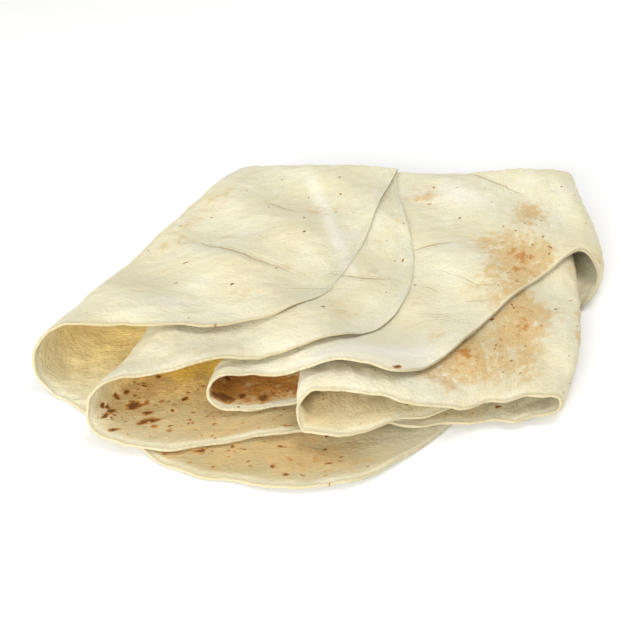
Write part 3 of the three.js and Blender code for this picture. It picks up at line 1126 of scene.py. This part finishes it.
# %% Group: dough face
# scale, detail and roughness of each noise
PATCHES = (42.0, 5.0, 0.6)
SLOW_PATCHES = (15.0, 3.0, 0.5)
CRUMBS = (520.0, 3.0, 0.6)
RIPPLES = (120.0, 3.0, 0.55)
PEBBLES, PEBBLES_SOFT = 330.0, 0.6
RIPPLES_HIGH, PEBBLES_HIGH = 1.2, -0.5
PALE_AT = (0.40, 0.64)
WARM_AT = (0.56, 0.40)
FLOUR_AT = (0.48, 0.66)
FLOUR_GRAINS_AT = (0.45, 0.62)
dough, given, result = new_group("dough_face", ["Sheet"], ["Pale", "Warm", "Grain", "Flour"])
patchy, slow, crumbly, ripple = (
    noise(dough, given["Sheet"], *kind) for kind in (PATCHES, SLOW_PATCHES, CRUMBS, RIPPLES))
pebble_inputs = {"Vector": given["Sheet"], "Scale": PEBBLES, "Smoothness": PEBBLES_SOFT}
pebble = put(dough, "ShaderNodeTexVoronoi", {"feature": "SMOOTH_F1"}, pebble_inputs).outputs["Distance"]
grain = scaled(dough, pebble, PEBBLES_HIGH, crumbly)
grain = scaled(dough, ripple, RIPPLES_HIGH, grain)
grains = soft_step(dough, crumbly, *FLOUR_GRAINS_AT)
flour = times(dough, soft_step(dough, slow, *FLOUR_AT), grains)
feed(dough, soft_step(dough, patchy, *PALE_AT), result["Pale"])
feed(dough, soft_step(dough, slow, *WARM_AT), result["Warm"])
feed(dough, grain, result["Grain"])
feed(dough, flour, result["Flour"])
print("group", dough.name, "with", len(dough.nodes), "nodes")

# %% [markdown]
# ## Pressed creases
# On the bread a crease is a thin dark line with a soft shade, and on one side of it the dough bulges a
# little. Extra points in the mesh could draw it, but they would have to be cut anew for each change. So
# all three come from the stored distance, which noise makes shaky: the line and the bulge as bump height,
# the shade as painted shade in the colour.

# %% Group: pressed crease
CREASE_WIDE = 0.75
CREASE_SHADE = 1.7
SHAKY = (140.0, 2.0, 0.5)
SHAKE = 2.4
BULGE_WIDE = 1.6
BULGE = 0.4
crease, given, result = new_group("pressed_crease", ["Away", "Pressed", "Sheet"], ["Height", "Shade"])
shaky = calc(crease, "SUBTRACT", noise(crease, given["Sheet"], *SHAKY), 0.5)
away = scaled(crease, shaky, SHAKE, given["Away"])
line = soft_step(crease, calc(crease, "ABSOLUTE", away), CREASE_WIDE, 0.0)
# the soft band beside the crease line, painted into the colour as shade
shade = soft_step(crease, calc(crease, "ABSOLUTE", away), CREASE_SHADE, 0.0)
from_bulge = calc(crease, "ABSOLUTE", calc(crease, "SUBTRACT", away, BULGE_WIDE))
bulge = soft_step(crease, from_bulge, BULGE_WIDE, 0.0)
lift = calc(crease, "SUBTRACT", times(crease, bulge, BULGE), line)
feed(crease, times(crease, lift, given["Pressed"]), result["Height"])
feed(crease, times(crease, shade, given["Pressed"]), result["Shade"])
print("group", crease.name, "with", len(crease.nodes), "nodes")

# %% [markdown]
# ## The bread's material
# The groups give masks only; the colours and the shader stay here, in the material. One colour ramp
# can't hold so many stages, so coats of paint are laid on the cream dough one by one: paler and warmer
# dough, the rim line of dry dough and painted shade, flour with painted highlights, painted glow,
# painted shade in the bends, painted shade in the creases and browning. Each paint has its colour and
# says how much it covers.

# %% Groups and stored numbers in the material
crumb = bpy.data.materials.new("crumb")
crumb.use_nodes = True
tree = crumb.node_tree
shader = tree.nodes["Principled BSDF"]


def stored(name, output="Fac"):
    return put(tree, "ShaderNodeAttribute", {"attribute_name": name}, {}).outputs[output]


def grouped(group, **inputs):
    return put(tree, "ShaderNodeGroup", {"node_tree": group}, inputs).outputs


on_sheet = stored("sheet", "Vector")
face = grouped(dough, Sheet=on_sheet)
line = grouped(crease, Away=stored("crease_at"), Pressed=stored("pressed"), Sheet=on_sheet)
mark = grouped(
    marks, Sheet=on_sheet, Toast=stored("toast"), Specks=stored("specks"),
    Blots=stored("blots"), Puff=stored("puff"))
print("material", crumb.name, "so far:", len(tree.nodes), "nodes")

# %% Coats of paint
CREAM = (0.630, 0.585, 0.402, 1)
PALE_DOUGH = (0.685, 0.658, 0.515, 1), 0.60
WARM_DOUGH = (0.640, 0.566, 0.342, 1), 0.35
# rim colour: dry dough and painted shade
RIM_DRY_AND_SHADE = (0.400, 0.340, 0.200, 1), 0.80
GLOW_PAINT = (0.980, 0.765, 0.340, 1), 0.85
SHADE_PAINT = (0.425, 0.314, 0.134, 1), 0.88
PAINTED_CREASE_SHADE = (0.420, 0.330, 0.170, 1), 0.75
TAN = (0.550, 0.375, 0.160, 1), 0.85
BROWN = (0.430, 0.165, 0.018, 1), 0.85
# pale colour of the real flour grains, also used for the painted highlight streaks
FLOUR_AND_HIGHLIGHT = (0.810, 0.790, 0.690, 1)
HIGHLIGHT_COVERS, FLOUR_DUST = 0.60, 0.22
DEEP_GLOW_PAINT = (0.860, 0.580, 0.075, 1)
DEEP_GLOW_COVERS = 0.90
SCORCHED = (0.085, 0.034, 0.010, 1)
# numbers of the sockets of a Mix node that mixes colours
FACTOR, COLOUR_A, COLOUR_B, MIXED = 0, 6, 7, 2


def blend(factor, a, b):
    inputs = {FACTOR: factor, COLOUR_A: a, COLOUR_B: b}
    return put(tree, "ShaderNodeMix", {"data_type": "RGBA"}, inputs).outputs[MIXED]


def coat(below, mask, paint, covers):
    return blend(times(tree, mask, covers), below, paint)


colour = coat(CREAM, face["Pale"], *PALE_DOUGH)
colour = coat(colour, face["Warm"], *WARM_DOUGH)
# rim line: partly dry dough, partly painted shade
colour = coat(colour, stored("rim"), *RIM_DRY_AND_SHADE)
# flour grains from noise, and painted highlights in streaks on the top
dust = times(tree, face["Flour"], FLOUR_DUST)
colour = blend(scaled(tree, stored("painted_highlight"), HIGHLIGHT_COVERS, dust), colour, FLOUR_AND_HIGHLIGHT)
# painted glow: light shining through thin dough, painted honey yellow, and deeper amber above 1
colour = coat(colour, stored("painted_glow"), *GLOW_PAINT)
past_glow = scaled(tree, stored("painted_glow"), DEEP_GLOW_COVERS, -DEEP_GLOW_COVERS)
colour = blend(past_glow, colour, DEEP_GLOW_PAINT)
# painted shade inside the bends and under the loops
colour = coat(colour, stored("painted_shade"), *SHADE_PAINT)
# painted shade along the creases
colour = coat(colour, line["Shade"], *PAINTED_CREASE_SHADE)
colour = coat(colour, mark["Tan"], *TAN)
colour = coat(colour, mark["Brown"], *BROWN)
colour = blend(mark["Char"], colour, SCORCHED)
feed(tree, colour, shader.inputs["Base Color"])
print("material", crumb.name, "so far:", len(tree.nodes), "nodes")

# %% [markdown]
# ## Sheen, grain and softness
# Baked dough is dull; where it browned it is a little smoother, so the brown mask lowers the roughness.
# A bump node shows the grain and the creases. Light also goes a short way into bread before it comes out
# again: subsurface scattering gives that softness, and a diffuse shader alone would look like plaster.

# %% Finish of the crumb
DULL = 0.86
BROWN_SMOOTHER = -0.22
CREASE_DEEP = 1.8
GRAIN_STRENGTH = 0.5
GRAIN_HIGH = 0.0008
SOFTNESS = {
    "Specular IOR Level": 0.25,
    "Subsurface Weight": 0.5,
    "Subsurface Radius": (1.0, 1.0, 1.0),
    "Subsurface Scale": 0.0015,
}
feed(tree, scaled(tree, mark["Brown"], BROWN_SMOOTHER, DULL), shader.inputs["Roughness"])
grain_height = scaled(tree, line["Height"], CREASE_DEEP, face["Grain"])
bump_inputs = {"Strength": GRAIN_STRENGTH, "Distance": GRAIN_HIGH, "Height": grain_height}
feed(tree, put(tree, "ShaderNodeBump", {}, bump_inputs).outputs[0], shader.inputs["Normal"])
for socket, value in SOFTNESS.items():
    shader.inputs[socket].default_value = value
mesh.materials.append(crumb)
print("material", crumb.name, "with", len(tree.nodes), "nodes")

# %% [markdown]
# ## A pale floor
# The bread lies on a plain pale surface, so that only its own colours count. A curved backdrop could be
# built, but one large flat face is enough. It isn't part of the bread.

# %% Floor
FLOOR_HALF = 6.0
FLOOR_PALE = (0.9, 0.9, 0.89, 1)
FLOOR_DULL = 0.9
corners = [(-1, -1), (1, -1), (1, 1), (-1, 1)]
floor_mesh = bpy.data.meshes.new("floor")
floor_points = [(sx * FLOOR_HALF, sy * FLOOR_HALF, 0) for sx, sy in corners]
floor_mesh.from_pydata(floor_points, [], [(0, 1, 2, 3)])
floor = bpy.data.objects.new("floor", floor_mesh)
bpy.context.scene.collection.objects.link(floor)
floor_paint = bpy.data.materials.new("pale_floor")
floor_paint.use_nodes = True
floor_shader = floor_paint.node_tree.nodes["Principled BSDF"]
floor_shader.inputs["Base Color"].default_value = FLOOR_PALE
floor_shader.inputs["Roughness"].default_value = FLOOR_DULL
floor_mesh.materials.append(floor_paint)
print("floor of", 2 * FLOOR_HALF, "m a side")

# %% [markdown]
# ## Studio light
# Food is lit softly, so that folds are shaded but no shadow is hard. A sun lamp would be too hard. Here
# a bright world gives light from all round, and two large area lamps, one above and one low in front,
# shape the folds and look into the open bends. Places are in metres.

# %% Light
WORLD_STRENGTH = 0.68
KEY = {"place": (0.45, 0.30, 1.3), "aim": (0, 0, 0), "wide": 0.8, "high": 0.8, "watts": 7}
FILL = {"place": (-0.66, -1.42, 0.46), "aim": (0, 0, 0.02), "wide": 1.2, "high": 0.7, "watts": 36}
world = bpy.data.worlds.new("studio")
bpy.context.scene.world = world
world.use_nodes = True
backdrop = world.node_tree.nodes["Background"]
backdrop.inputs["Color"].default_value = (1, 1, 1, 1)
backdrop.inputs["Strength"].default_value = WORLD_STRENGTH


def softbox(name, place, aim, wide, high, watts):
    data = bpy.data.lights.new(name, "AREA")
    data.shape = "RECTANGLE"
    data.size = wide
    data.size_y = high
    data.energy = watts
    lamp = bpy.data.objects.new(name, data)
    bpy.context.scene.collection.objects.link(lamp)
    lamp.location = place
    lamp.rotation_euler = (Vector(aim) - Vector(place)).to_track_quat("-Z", "Y").to_euler()


softbox("key", **KEY)
softbox("fill", **FILL)
print("lamps:", [(lamp.name, lamp.energy) for lamp in bpy.data.lights])

# %% [markdown]
# ## The camera
# The camera looks straight at the open bends, from about a third of the way up. A constraint could keep
# it aimed; two angles and a distance from a target are easier to read. A long lens keeps the layers
# nearly parallel, and the Standard view shows the colours as they were chosen.

# %% Camera
AZIMUTH, ELEVATION = 0.0, 33.0
LENS = 70.0
DISTANCE = 0.71
TARGET = Vector((-0.011, -0.010, 0.005))
cam_data = bpy.data.cameras.new("camera")
cam_data.lens = LENS
cam = bpy.data.objects.new("camera", cam_data)
bpy.context.scene.collection.objects.link(cam)
bpy.context.scene.camera = cam
azimuth, elevation = math.radians(AZIMUTH), math.radians(ELEVATION)
level = math.cos(elevation)
back = Vector((math.sin(azimuth) * level, -math.cos(azimuth) * level, math.sin(elevation)))
cam.location = TARGET + back * DISTANCE
cam.rotation_euler = (-back).to_track_quat("-Z", "Y").to_euler()
bpy.context.scene.view_settings.view_transform = "Standard"
print("camera at", [round(v, 3) for v in cam.location])

# %% [markdown]
# ## Finish
# The fine bread has to fit the plain solid. At the end the view layer is brought up to date.

# %% Finish
bpy.context.view_layer.update()
